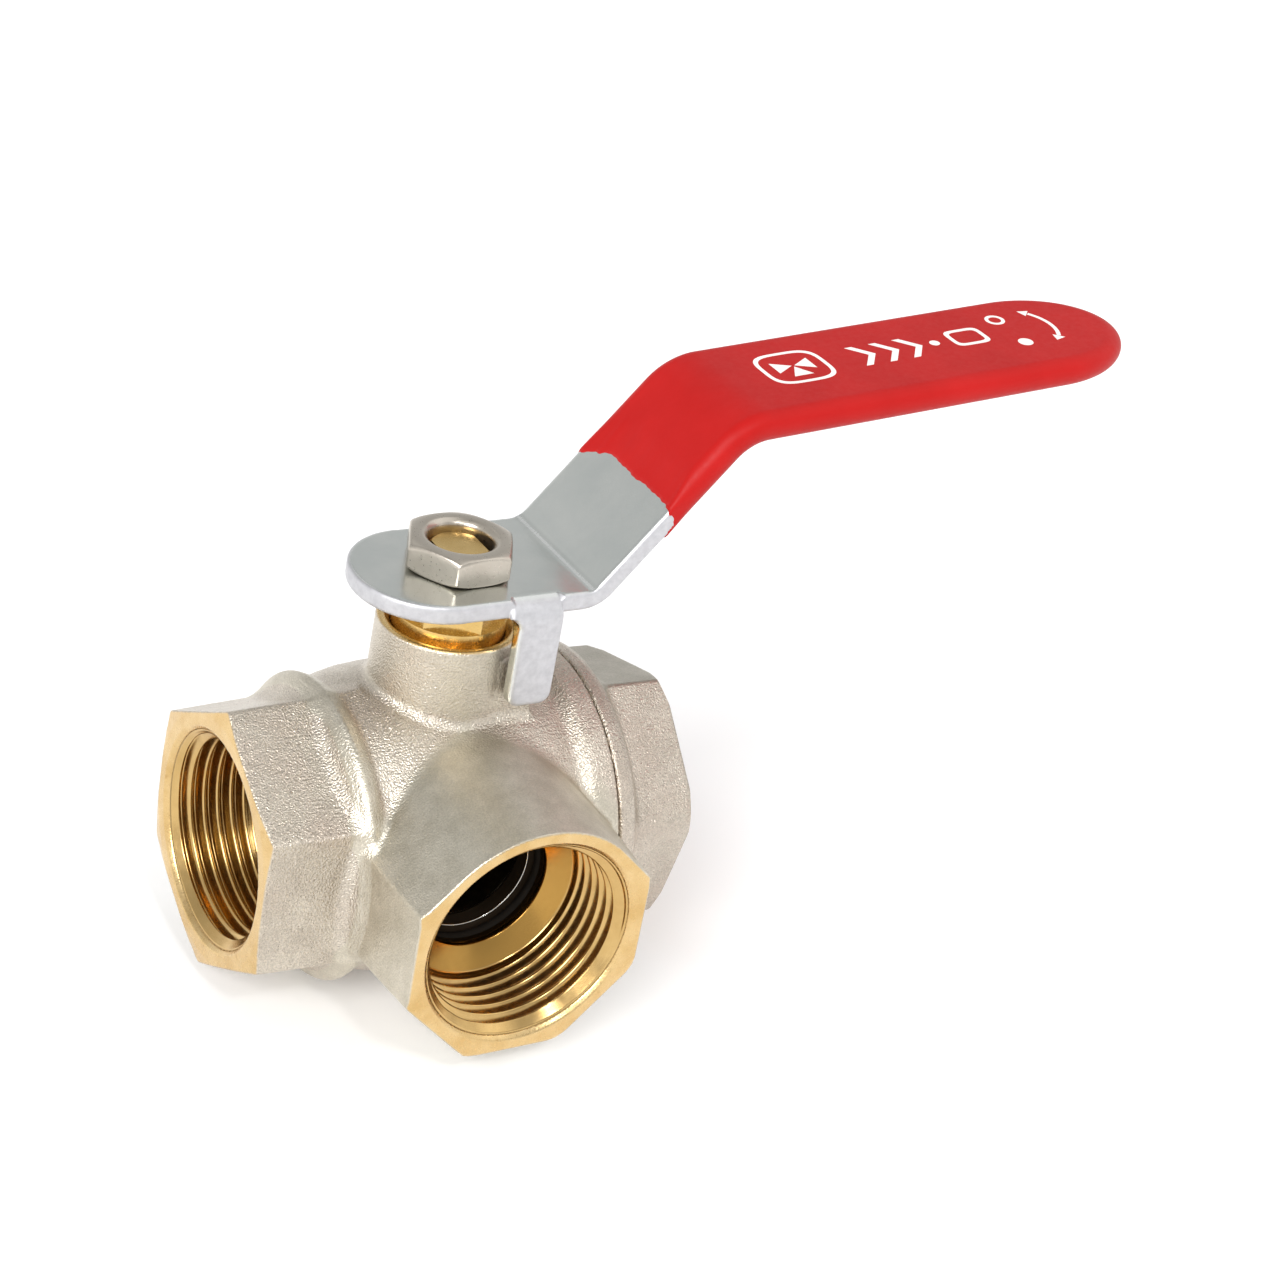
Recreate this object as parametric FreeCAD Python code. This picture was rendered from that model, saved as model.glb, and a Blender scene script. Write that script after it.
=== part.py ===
import FreeCAD, Part
import math
import os

# Three way ball valve, 3/4 inch (DN20), L-port, screwed end cap and hand lever.
# Frame: origin at the centre of the ball, where the three port axes meet.
# +X points out of the end cap port, -X out of the body port, -Y out of the
# branch port, +Z runs up the stem. Millimetres.

V = FreeCAD.Vector

# ---------------------------------------------------------------- dimensions
BALL_R = 14.5            # ball radius
BORE_R = 7.6             # L bore through the ball
PASS_R = 8.9             # passage edge behind each thread

X_BODY_PORT = -28.1      # end face of the body port
Y_BRANCH = -30.2         # end face of the branch port
X_CAP_PORT = 30.0        # end face of the end cap port

# G 3/4 parallel thread
THREAD_MAJOR_R = 13.22
THREAD_MINOR_R = 12.06
THREAD_PITCH = 1.814
MOUTH_R = 14.0           # mouth chamfer
CREST_FLAT = 1.0
ROOT_FLAT = 0.24
DEPTH_BODY = 10.75       # end face to the foot of the thread
DEPTH_BRANCH = 11.3
DEPTH_CAP = 11.3

HEX_AF = 31.2            # body port hexagon, vertices up and down
OCT_AF = 30.8            # branch octagon, flats up, down and at the sides
CAP_AF = 31.0            # end cap hexagon
CAP_TURN = 15.0          # degrees the screwed-in cap hexagon stands off level

DRUM_R = 19.6            # forged drum around the ball
X_SEAM = 17.7            # seam between body and end cap
COLLAR_R = 19.1          # rounded collar between hexagon and drum
NECK_R = 8.8             # stem tower
NECK_TOP = 27.5

CAVITY_R = 15.2
SEAT_OD_R = 10.2
SEAT_ID_R = 8.0
SEAT_FACE = 10.25        # inner face of every seat, from the ball centre
SEAT_FLOOR = 14.6        # back of the two through-line seats
SIDE_SEAT_BACK = 14.4    # back of the two side seats
SIDE_FLOOR = 15.8        # floor of the two side seat pockets
ENERGISER_R = 0.68       # section radius of the side seat energisers
FIT = 0.05               # running clearance

CAP_THREAD_R = 17.5
CAP_NOSE_X = 11.9
CAP_STEP_X = 13.0

STEM_R = 4.95
STEM_BORE_R = 5.0
STEM_HEAD_R = 6.4
HEAD_Z0 = 14.75
HEAD_Z1 = 16.6
WASHER_TOP = 17.3
CHAMBER_Z = 20.4
CHAMBER_R = 7.0
TANG_T = 5.0             # tang thickness
TANG_L = 9.0
TANG_Z = 10.2

LEVER_T = 2.4            # steel strip
LEVER_W = 20.0
LEVER_TOP = 34.7
LEVER_END_X = -13.5      # round end behind the stem
CREASE_X = 13.55
RAMP_X = 31.0
RAMP_Z = 55.35
TIP_X = 92.5
TIP_Z = 60.9
RAMP_BEND_R = 8.0
CREASE_R = 2.9
SLEEVE_T = 0.8
GRIP_W = 18.6           # steel width inside the dipped grip
GRIP_OUT_W = 20.2       # width over the grip
END_A = 13.4            # length of the half-elliptical grip end
SLEEVE_START = 12.5      # distance up the ramp where the dipped grip begins

STEM_D_R = 3.95          # M8 stem end with two flats
STEM_FLAT = 2.9
STEM_TOP = 37.2
NUT_AF = 12.4
NUT_TOP = 38.6
GLAND_AF = 12.0

TAB_X0, TAB_X1 = 3.9, 9.3
TAB_BOTTOM = 20.9
TAB_OUT = 11.0           # outer face of each stop tab, from the X axis
LUG = 8.35               # half size of the square stop lug corner


# ------------------------------------------------------------------- helpers
def axis_frame(shape, which):
    # shape built along +X; turn it onto another axis
    s = shape.copy()
    if which == "-x":
        s.rotate(V(0, 0, 0), V(0, 0, 1), 180)
    elif which == "-y":
        s.rotate(V(0, 0, 0), V(0, 0, 1), -90)
    elif which == "+y":
        s.rotate(V(0, 0, 0), V(0, 0, 1), 90)
    elif which == "+z":
        s.rotate(V(0, 0, 0), V(0, 1, 0), -90)
    return s


def lathe(points):
    # points are (x, r); turned about the X axis
    pts = [V(x, 0, r) for x, r in points]
    if pts[0] != pts[-1]:
        pts.append(pts[0])
    face = Part.Face(Part.makePolygon(pts))
    return face.revolve(V(0, 0, 0), V(1, 0, 0), 360)


def ring(x0, x1, ri, ro):
    return lathe([(x0, ri), (x1, ri), (x1, ro), (x0, ro)])


def rod(x0, x1, r):
    return Part.makeCylinder(r, x1 - x0, V(x0, 0, 0), V(1, 0, 0))


def prism(x0, x1, af, sides, turn):
    # regular prism along X; turn is the angle of the first vertex from +Z
    rc = af / 2.0 / math.cos(math.pi / sides)
    pts = []
    for i in range(sides + 1):
        a = math.radians(turn) + 2 * math.pi * i / sides
        pts.append(V(x0, -rc * math.sin(a), rc * math.cos(a)))
    return Part.Face(Part.makePolygon(pts)).extrude(V(x1 - x0, 0, 0))


def drafted(x0, x1, af0, af1, sides, turn):
    wires = []
    for x, af in ((x0, af0), (x1, af1)):
        rc = af / 2.0 / math.cos(math.pi / sides)
        pts = []
        for i in range(sides + 1):
            a = math.radians(turn) + 2 * math.pi * i / sides
            pts.append(V(x, -rc * math.sin(a), rc * math.cos(a)))
        wires.append(Part.makePolygon(pts))
    return Part.makeLoft(wires, True, True)


def port_cutters(face, depth):
    # port hole along +X whose mouth is at x = face: mouth chamfer, bore at the
    # thread's crest radius, conical shoulder and passage; and the helical
    # groove of the G 3/4 thread, right-handed, cut a little short of the floor
    floor = face - depth
    hole = lathe([
        (face + 1.0, 0.0), (face + 1.0, MOUTH_R), (face, MOUTH_R),
        (face - (MOUTH_R - THREAD_MINOR_R), THREAD_MINOR_R), (floor, THREAD_MINOR_R),
        (floor - 1.6, PASS_R), (floor - 5.0, PASS_R), (floor - 5.0, 0.0)])
    half = (THREAD_PITCH - CREST_FLAT) / 2.0 + 0.05
    length = depth - 0.3
    groove = Part.Wire(Part.makeHelix(THREAD_PITCH, length, 13.0)).makePipeShell([
        Part.makePolygon([V(THREAD_MINOR_R - 0.12, 0, -half),
                          V(THREAD_MAJOR_R, 0, -ROOT_FLAT / 2),
                          V(THREAD_MAJOR_R, 0, ROOT_FLAT / 2),
                          V(THREAD_MINOR_R - 0.12, 0, half),
                          V(THREAD_MINOR_R - 0.12, 0, -half)])], True, True)
    groove.rotate(V(0, 0, 0), V(0, 1, 0), -90)
    groove.translate(V(face + 0.3 - half, 0, 0))
    return hole, groove


def seat(back, front=SEAT_FACE):
    # PTFE seat ring along +X with a spherical face for the ball
    s = ring(front, back, SEAT_ID_R, SEAT_OD_R)
    return s.cut(Part.makeSphere(BALL_R + FIT))


def export(name, shape):
    if shape.ShapeType == "Compound" and len(shape.Solids) == 1:
        shape = shape.Solids[0]
    shape.exportStep("parts/%s.step" % name)
    box = shape.BoundBox
    print("%-16s solids %d valid %s vol %.1f  x %.2f..%.2f y %.2f..%.2f z %.2f..%.2f" % (
        name, len(shape.Solids), shape.isValid(), shape.Volume,
        box.XMin, box.XMax, box.YMin, box.YMax, box.ZMin, box.ZMax))


def soft(shape, edges, radius):
    # rounded edges where the kernel can make them
    try:
        out = shape.makeFillet(radius, edges)
        if out.isValid() and abs(out.Volume - shape.Volume) < 0.2 * shape.Volume:
            return out
    except Exception:
        pass
    return shape


os.makedirs("parts", exist_ok=True)

# ----------------------------------------------------------------- the body
# forged drum, turned about X: rounded collar, shallow groove, drum
drum = lathe([
    (-17.6, 0.0), (-17.6, 16.2), (-16.6, 17.6), (-15.8, 18.8), (-14.9, COLLAR_R),
    (-14.0, COLLAR_R), (-13.1, 18.8), (-12.3, 18.2), (-11.6, 18.1), (-9.4, 18.9),
    (-6.5, 19.45), (-3.0, DRUM_R), (X_SEAM, DRUM_R), (X_SEAM, 0.0)])
hexport = drafted(X_BODY_PORT, -12.0, HEX_AF, HEX_AF + 0.9, 6, 0.0)
# the turned end of the hexagon: a round face with 30 degree corners
hexport = hexport.common(lathe([
    (X_BODY_PORT, 0.0), (X_BODY_PORT, 15.7), (X_BODY_PORT + 0.6, 18.9),
    (-10.0, 18.9), (-10.0, 0.0)]))
octport = axis_frame(drafted(5.0, -Y_BRANCH, OCT_AF + 1.5, OCT_AF, 8, 22.5), "-y")
# the two top corners of the octagon are forged round
waist = OCT_AF / 2.0 * math.sin(math.radians(45.0))
top_cone = axis_frame(lathe([
    (3.0, 0.0), (3.0, OCT_AF / 2.0 + 0.79), (-Y_BRANCH, OCT_AF / 2.0),
    (-Y_BRANCH, 0.0)]), "-y")
low_part = octport.common(Part.makeBox(60, 60, 30, V(-30, -40, waist - 30)))
high_part = octport.common(Part.makeBox(60, 60, 30, V(-30, -40, waist))).common(top_cone)
octport = low_part.fuse(high_part).removeSplitter()
octport = octport.common(axis_frame(lathe([
    (3.0, 0.0), (3.0, 17.6), (-Y_BRANCH - 0.8, 17.4), (-Y_BRANCH, 16.1),
    (-Y_BRANCH, 0.0)]), "-y"))
neck = axis_frame(lathe([
    (5.0, 0.0), (5.0, NECK_R + 0.1), (19.0, NECK_R + 0.1), (NECK_TOP - 0.4, NECK_R),
    (NECK_TOP, NECK_R - 0.35), (NECK_TOP, 0.0)]), "+z")
# square stop lug on the neck, between the two lever tabs
lug = Part.makeBox(LUG - 3.0, LUG - 3.0, 8.4, V(3.0, -LUG, 17.0))

body = drum.fuse([hexport, octport, neck, lug]).removeSplitter()

# stem tower foot and branch root get forging radii where they can be rounded
foot = []
for e in body.Edges:
    c = e.BoundBox
    if c.ZMin > 15.0 and c.ZMax < 20.2 and c.XLength > 3.0 and c.YLength > 3.0 \
            and abs(c.Center.x) < 9.5 and abs(c.Center.y) < 9.5:
        foot.append(e)
body = soft(body, foot, 1.0)

port_a, groove_a = port_cutters(-X_BODY_PORT, DEPTH_BODY)
port_b, groove_b = port_cutters(-Y_BRANCH, DEPTH_BRANCH)
cavity = rod(-SEAT_FACE - 0.15, X_SEAM + 1.0, CAVITY_R)
cuts = [
    axis_frame(port_a, "-x"),
    axis_frame(port_b, "-y"),
    cavity,
    rod(11.8, X_SEAM + 1.0, CAP_THREAD_R + 0.02),
    rod(-SEAT_FLOOR, 0.0, SEAT_OD_R + FIT),
    rod(-20.0, 0.0, PASS_R),
    axis_frame(rod(0.0, SIDE_FLOOR, SEAT_OD_R + FIT), "-y"),
    axis_frame(rod(0.0, SIDE_FLOOR, SEAT_OD_R + FIT), "+y"),
    axis_frame(rod(0.0, 20.0, PASS_R), "-y"),
    # stem: head pocket, journal bore, packing chamber with chamfered mouth
    axis_frame(lathe([
        (8.0, 0.0), (8.0, STEM_HEAD_R + 0.1), (WASHER_TOP, STEM_HEAD_R + 0.1),
        (WASHER_TOP, STEM_BORE_R), (CHAMBER_Z, STEM_BORE_R), (CHAMBER_Z, CHAMBER_R),
        (NECK_TOP - 1.0, CHAMBER_R), (NECK_TOP + 0.1, CHAMBER_R + 1.1),
        (NECK_TOP + 0.1, 0.0)]), "+z"),
    axis_frame(groove_a, "-x"),
    axis_frame(groove_b, "-y"),
]
for c in cuts:
    body = body.cut(c)
export("valve_body", body)

# ------------------------------------------------------------------- end cap
port_c, groove_c = port_cutters(X_CAP_PORT, DEPTH_CAP)
cap = lathe([
    (CAP_NOSE_X, 0.0), (CAP_NOSE_X, 14.9), (CAP_STEP_X, 14.9), (CAP_STEP_X, 17.1),
    (CAP_STEP_X + 0.4, CAP_THREAD_R - 0.03), (X_SEAM, CAP_THREAD_R - 0.03),
    (X_SEAM, DRUM_R), (19.2, 19.3), (20.6, 18.2), (21.6, 16.4), (22.2, 15.0),
    (22.2, 0.0)])
caphex = drafted(18.6, X_CAP_PORT, CAP_AF + 0.6, CAP_AF, 6, 90.0 - CAP_TURN)
caphex = caphex.common(lathe([
    (18.0, 0.0), (18.0, 18.3), (26.5, 18.3), (X_CAP_PORT - 0.9, 17.6),
    (X_CAP_PORT, 16.4), (X_CAP_PORT, 0.0)]))
cap = cap.fuse(caphex).removeSplitter()
cap = cap.cut(port_c).cut(rod(CAP_NOSE_X - 1.0, SEAT_FLOOR, SEAT_OD_R + FIT)) \
    .cut(rod(10.0, 22.0, PASS_R)).cut(groove_c)
export("end_cap", cap)
export("cap_seal", ring(11.85, 12.95, 15.35, 17.3))

# ---------------------------------------------------------------------- ball
ball = Part.makeSphere(BALL_R)
ball = ball.cut(rod(0.0, 20.0, BORE_R))
ball = ball.cut(axis_frame(rod(0.0, 20.0, BORE_R), "-y"))
ball = ball.cut(Part.makeSphere(BORE_R))
ball = ball.cut(Part.makeBox(40.0, TANG_T + 0.1, 10.0, V(-20.0, -(TANG_T + 0.1) / 2, 10.0)))
export("ball", ball)

# --------------------------------------------------------------------- seats
export("seat_body_side", axis_frame(seat(SEAT_FLOOR - 0.02), "-x"))
export("seat_cap_side", seat(SEAT_FLOOR - 0.02))
export("seat_branch", axis_frame(seat(SIDE_SEAT_BACK), "-y"))
export("seat_rear", axis_frame(seat(SIDE_SEAT_BACK), "+y"))
donut = Part.makeTorus(9.3, ENERGISER_R, V(SIDE_SEAT_BACK + 0.7, 0, 0), V(1, 0, 0))
export("energiser_branch", axis_frame(donut, "-y"))
export("energiser_rear", axis_frame(donut, "+y"))

# ---------------------------------------------------------------------- stem
stem = axis_frame(lathe([
    (HEAD_Z0, 0.0), (HEAD_Z0, STEM_HEAD_R - 0.4), (HEAD_Z0 + 0.4, STEM_HEAD_R),
    (HEAD_Z1, STEM_HEAD_R), (HEAD_Z1, STEM_R), (18.2, STEM_R), (18.2, 3.6),
    (19.8, 3.6), (19.8, STEM_R), (LEVER_TOP - LEVER_T - 0.3, STEM_R),
    (LEVER_TOP - LEVER_T, STEM_R - 0.3), (LEVER_TOP - LEVER_T, 0.0)]), "+z")
tang = Part.makeBox(TANG_L, TANG_T, HEAD_Z0 - TANG_Z + 0.3,
                    V(-TANG_L / 2, -TANG_T / 2, TANG_Z))
dee = axis_frame(lathe([
    (31.5, 0.0), (31.5, STEM_D_R), (STEM_TOP - 0.5, STEM_D_R),
    (STEM_TOP, STEM_D_R - 0.5), (STEM_TOP, 0.0)]), "+z").common(
        Part.makeBox(2 * STEM_FLAT, 20, 20, V(-STEM_FLAT, -10, 25)))
stem = stem.fuse([tang, dee]).removeSplitter()
export("stem", stem)
export("stem_o_ring", Part.makeTorus(4.3, 0.68, V(0, 0, 19.0), V(0, 0, 1)))
export("thrust_washer", axis_frame(ring(HEAD_Z1 + 0.03, WASHER_TOP, STEM_R + FIT, STEM_HEAD_R), "+z"))
export("packing_lower", axis_frame(ring(CHAMBER_Z, 22.2, STEM_R + FIT, CHAMBER_R), "+z"))
export("packing_upper", axis_frame(ring(22.2, 24.0, STEM_R + FIT, CHAMBER_R), "+z"))
export("gland_ring", axis_frame(ring(24.0, 25.0, STEM_R + 0.08, CHAMBER_R - 0.05), "+z"))
gland = ring(25.0, 28.7, STEM_R + 0.08, CHAMBER_R - 0.02)
gland_hex = prism(28.7, 31.7, GLAND_AF, 6, 30.0 + 5.0).common(lathe([
    (28.7, 0.0), (28.7, 7.6), (30.9, 7.6), (31.7, 6.3), (31.7, 0.0)]))
gland_hex = gland_hex.cut(rod(28.0, 32.0, STEM_R + 0.08))
export("gland_nut", axis_frame(gland.fuse(gland_hex).removeSplitter(), "+z"))

# --------------------------------------------------------------------- lever
def side_profile(grow, cut_start=None):
    # closed XZ outline of the strip, thickened by grow on both faces
    z_mid = LEVER_TOP - LEVER_T / 2.0
    a = V(LEVER_END_X - grow, 0, z_mid)
    # mid-line corners
    ang = math.atan2(RAMP_Z - LEVER_TOP, RAMP_X - CREASE_X)
    tilt = math.atan2(TIP_Z - RAMP_Z, TIP_X - RAMP_X)
    h = LEVER_T / 2.0
    b = V(CREASE_X + h * math.tan(ang / 2.0), 0, z_mid)
    c = V(RAMP_X + h * math.tan((ang - tilt) / 2.0 + tilt), 0, RAMP_Z - h)
    d = V(TIP_X + grow, 0, c.z + (TIP_X + grow - c.x) * math.tan(tilt))
    pts = [a, b, c, d]
    radii = [CREASE_R + h, RAMP_BEND_R]
    # mid-line with round bends
    segs = []
    prev = a
    for i, r in ((1, radii[0]), (2, radii[1])):
        p0, p1, p2 = pts[i - 1], pts[i], pts[i + 1]
        u = (p0 - p1).normalize()
        w = (p2 - p1).normalize()
        half = math.acos(max(-1, min(1, u.dot(w)))) / 2.0
        t = r / math.tan(half)
        s, e = p1 + u * t, p1 + w * t
        bis = (u + w).normalize()
        m = p1 + bis * (r / math.sin(half) - r)
        segs.append(("l", prev, s))
        segs.append(("a", s, m, e, p1 + bis * (r / math.sin(half)), r))
        prev = e
    segs.append(("l", prev, d))
    return segs, ang, tilt


def strip(grow, width, start=None):
    segs, ang, tilt = side_profile(grow)
    off = LEVER_T / 2.0 + grow
    left, right = [], []

    def shift(p, q, sgn):
        t = (q - p).normalize()
        n = V(-t.z, 0, t.x)
        return p + n * (sgn * off), q + n * (sgn * off)

    for sgn, out in ((1, left), (-1, right)):
        for s in segs:
            if s[0] == "l":
                p, q = shift(s[1], s[2], sgn)
                out.append(Part.makeLine(p, q))
            else:
                c, r = s[4], s[5]
                pts = []
                for p in (s[1], s[2], s[3]):
                    n = (p - c).normalize()
                    # the first bend curves up, the second curves over
                    up = 1 if c.z > p.z else -1
                    rr = r - off * sgn * up
                    pts.append(c + n * rr)
                out.append(Part.Arc(pts[0], pts[1], pts[2]).toShape())
    start_l = left[0].Vertexes[0].Point
    start_r = right[0].Vertexes[0].Point
    end_l = left[-1].Vertexes[-1].Point
    end_r = right[-1].Vertexes[-1].Point
    edges = left + [Part.makeLine(end_l, end_r)] + right + [Part.makeLine(start_r, start_l)]
    wire = Part.Wire(Part.__sortEdges__(edges))
    face = Part.Face(wire)
    face.translate(V(0, -width / 2.0, 0))
    return face.extrude(V(0, width, 0)), ang, tilt


def half_ellipse_end(x0, x1, width, length, low, high):
    # plan outline of the grip end: straight sides, half-elliptical tip
    w = width / 2.0
    cx = x1 - length
    arc = Part.Arc(Part.Ellipse(V(cx, 0, low), length, w), -math.pi / 2, math.pi / 2).toShape()
    edges = [Part.makeLine(V(x0, w, low), V(x0, -w, low)), Part.makeLine(V(x0, -w, low), V(cx, -w, low)),
             arc, Part.makeLine(V(cx, w, low), V(x0, w, low))]
    return Part.Face(Part.Wire(Part.__sortEdges__(edges))).extrude(V(0, 0, high - low))


lever, ang, tilt = strip(0.0, LEVER_W)
root = Part.makeCylinder(LEVER_W / 2, 60, V(LEVER_END_X + LEVER_W / 2, 0, 20)).fuse(
    Part.makeBox(200, LEVER_W, 60, V(LEVER_END_X + LEVER_W / 2, -LEVER_W / 2, 20)))
lever = lever.common(root)
# the steel is narrower inside the grip, so that the grip is flush with it
dip = V(CREASE_X + SLEEVE_START * math.cos(ang), 0, LEVER_TOP + SLEEVE_START * math.sin(ang))
above = Part.makeBox(200, 60, 200, V(0, -30, -100))
above.rotate(V(0, 0, 0), V(0, 1, 0), -math.degrees(ang))
above.translate(dip)
lever = lever.cut(above).fuse(lever.common(above).common(
    half_ellipse_end(0.0, TIP_X, GRIP_W, END_A - SLEEVE_T, 20, 80)))
hole = Part.makeCylinder(STEM_D_R + FIT, 10, V(0, 0, 30)).common(
    Part.makeBox(2 * (STEM_FLAT + FIT), 20, 20, V(-STEM_FLAT - FIT, -10, 25)))
lever = lever.cut(hole)
tabs = []
for sgn in (1, -1):
    y_out, y_in = TAB_OUT, TAB_OUT - LEVER_T
    # bend from the strip edge, then straight down
    bend = Part.makeBox(TAB_X1 - TAB_X0, y_out - 7.6, LEVER_T,
                        V(TAB_X0, 7.6, LEVER_TOP - LEVER_T))
    leg = Part.makeBox(TAB_X1 - TAB_X0, LEVER_T, LEVER_TOP - TAB_BOTTOM,
                       V(TAB_X0, y_in, TAB_BOTTOM))
    t = bend.fuse(leg).removeSplitter()
    top = [e for e in t.Edges if abs(e.BoundBox.ZMin - LEVER_TOP) < 1e-6
           and abs(e.BoundBox.ZMax - LEVER_TOP) < 1e-6 and abs(e.BoundBox.YMin - y_out) < 1e-6
           and abs(e.BoundBox.YMax - y_out) < 1e-6]
    t = soft(t, top, 3.0)
    low = [e for e in t.Edges if e.BoundBox.ZMax < TAB_BOTTOM + 0.01 and e.BoundBox.YLength > 2.0
           and e.BoundBox.XLength < 0.01]
    t = soft(t, low, 1.4)
    if sgn < 0:
        t = t.mirror(V(0, 0, 0), V(0, 1, 0))
    tabs.append(t)
# the strip edge is set back beside each tab, so that the tab can be bent down
for y in (8.0, -14.0):
    lever = lever.cut(Part.makeBox(TAB_X1 - TAB_X0 + 1.0, 6.0, 8.0, V(TAB_X0 - 1.0, y, 30.0)))
lever = lever.fuse(tabs)
lever = lever.removeSplitter()
export("lever_plate", lever)

sleeve, _, _ = strip(SLEEVE_T, GRIP_OUT_W)
sleeve = sleeve.common(half_ellipse_end(-10.0, TIP_X + SLEEVE_T, GRIP_OUT_W, END_A, 20, 80))
sleeve = sleeve.common(above)
w2 = GRIP_OUT_W / 2
rims = [e for e in sleeve.Edges
        if (abs(abs(e.BoundBox.YMin) - w2) < 1e-4 and abs(abs(e.BoundBox.YMax) - w2) < 1e-4
            and e.BoundBox.YLength < 1e-4 and e.BoundBox.XLength > 1.5)]
tip = [e for e in sleeve.Edges if e.BoundBox.YLength > 15 and e.BoundBox.XMin > TIP_X - END_A - 2.0]
sleeve = soft(sleeve, rims + tip, 1.2)
sleeve = sleeve.cut(lever)
export("grip_sleeve", sleeve)

# ----------------------------------------------------------------- lever nut
nut = prism(LEVER_TOP, NUT_TOP, NUT_AF, 6, 2.0).common(lathe([
    (LEVER_TOP, 0.0), (LEVER_TOP, 6.3), (LEVER_TOP + 0.6, 7.3), (NUT_TOP - 0.75, 7.3),
    (NUT_TOP, 6.0), (NUT_TOP, 0.0)]))
nut = nut.cut(lathe([
    (30.0, 0.0), (30.0, 4.0), (NUT_TOP - 0.5, 4.0), (NUT_TOP + 0.1, 4.6),
    (NUT_TOP + 0.1, 0.0)]))
export("lever_nut", axis_frame(nut, "+z"))
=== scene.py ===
import bpy
import math
import numpy as np
import openvdb
from mathutils import Vector, Matrix


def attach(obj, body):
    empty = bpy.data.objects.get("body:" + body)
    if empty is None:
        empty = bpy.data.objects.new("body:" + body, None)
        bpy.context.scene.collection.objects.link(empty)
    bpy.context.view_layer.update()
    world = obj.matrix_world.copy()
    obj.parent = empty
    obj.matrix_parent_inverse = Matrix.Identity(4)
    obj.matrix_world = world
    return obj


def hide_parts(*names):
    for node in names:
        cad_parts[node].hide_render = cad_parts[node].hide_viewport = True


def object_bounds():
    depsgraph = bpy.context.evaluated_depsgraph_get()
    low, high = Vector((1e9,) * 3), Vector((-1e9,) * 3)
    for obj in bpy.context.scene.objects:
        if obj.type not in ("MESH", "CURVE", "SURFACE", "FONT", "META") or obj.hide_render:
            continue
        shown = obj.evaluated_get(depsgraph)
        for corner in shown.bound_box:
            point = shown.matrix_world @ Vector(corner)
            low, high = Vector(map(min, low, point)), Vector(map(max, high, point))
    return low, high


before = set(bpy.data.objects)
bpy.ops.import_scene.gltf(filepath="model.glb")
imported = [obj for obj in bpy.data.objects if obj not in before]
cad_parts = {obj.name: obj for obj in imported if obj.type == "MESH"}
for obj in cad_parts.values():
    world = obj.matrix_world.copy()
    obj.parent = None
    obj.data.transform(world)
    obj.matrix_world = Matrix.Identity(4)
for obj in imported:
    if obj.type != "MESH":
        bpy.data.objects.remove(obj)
CAD_LO, CAD_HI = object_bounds()
MM = 0.001
f32 = np.float32

# ------------------------------------------------------------------ distances
# Solids are written as signed distances in millimetres and meshed on a fine
# grid, so that the forging keeps its soft blended corners.


def round_union(a, b, r):
    u = np.maximum(r - a, 0)
    v = np.maximum(r - b, 0)
    return np.maximum(r, np.minimum(a, b)) - np.sqrt(u * u + v * v)


def round_cut(a, b, r):
    # intersection with a rounded outside corner
    u = np.maximum(r + a, 0)
    v = np.maximum(r + b, 0)
    return np.minimum(-r, np.maximum(a, b)) + np.sqrt(u * u + v * v)


def soft_union(a, b, k):
    h = np.clip(0.5 + 0.5 * (b - a) / k, 0, 1)
    return b * (1 - h) + a * h - k * h * (1 - h)


class Outline:
    """Signed distance to a closed 2D outline, tabled. Segments on v = 0 are the axis of a lathe and don't count."""

    def __init__(self, pts, lo, hi, step=0.05, lathe=True, grow=0.0):
        p = np.array(pts, float)
        q = np.roll(p, -1, 0)
        self.lo, self.step = np.array(lo, float), step
        nu, nv = [int(math.ceil((hi[i] - lo[i]) / step)) + 2 for i in (0, 1)]
        u = lo[0] + step * np.arange(nu)
        v = lo[1] + step * np.arange(nv)
        U, W = np.meshgrid(u, v, indexing="ij")
        best = np.full(U.shape, 1e9)
        inside = np.zeros(U.shape, bool)
        for a, b in zip(p, q):
            if not (lathe and abs(a[1]) < 1e-9 and abs(b[1]) < 1e-9):
                e = b - a
                t = np.clip(((U - a[0]) * e[0] + (W - a[1]) * e[1]) / max(e @ e, 1e-12), 0, 1)
                d = (U - a[0] - t * e[0]) ** 2 + (W - a[1] - t * e[1]) ** 2
                best = np.minimum(best, d)
            cross = ((a[1] > W) != (b[1] > W)) & (
                U < (b[0] - a[0]) * (W - a[1]) / (b[1] - a[1] + 1e-30) + a[0])
            inside ^= cross
        self.t = (np.where(inside, -1, 1) * np.sqrt(best) - grow).astype(f32)

    def __call__(self, u, v):
        n0, n1 = self.t.shape
        a = np.clip((u - self.lo[0]) / self.step, 0, n0 - 1.001).astype(f32)
        b = np.clip((v - self.lo[1]) / self.step, 0, n1 - 1.001).astype(f32)
        a, b = np.broadcast_arrays(a, b)
        i, j = a.astype(np.int32), b.astype(np.int32)
        fa, fb = a - i, b - j
        t = self.t
        return (t[i, j] * (1 - fa) * (1 - fb) + t[i + 1, j] * fa * (1 - fb)
                + t[i, j + 1] * (1 - fa) * fb + t[i + 1, j + 1] * fa * fb)


def polygon(sides, af, turn, shrink=0.0):
    rc = (af / 2.0 - shrink) / math.cos(math.pi / sides)
    return [(-rc * math.sin(math.radians(turn) + 2 * math.pi * i / sides),
             rc * math.cos(math.radians(turn) + 2 * math.pi * i / sides)) for i in range(sides)]


def rounded_prism(sides, af, turn, r):
    m = af / 2 + 6
    return Outline(polygon(sides, af, turn, r), (-m, -m), (m, m), 0.06, False, r)


def lathe_outline(pts, grow=0.0):
    p = np.array(pts, float)
    return Outline(pts, (p[:, 0].min() - 6, 0), (p[:, 0].max() + 6, p[:, 1].max() + 6), 0.05, True, grow)


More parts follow.
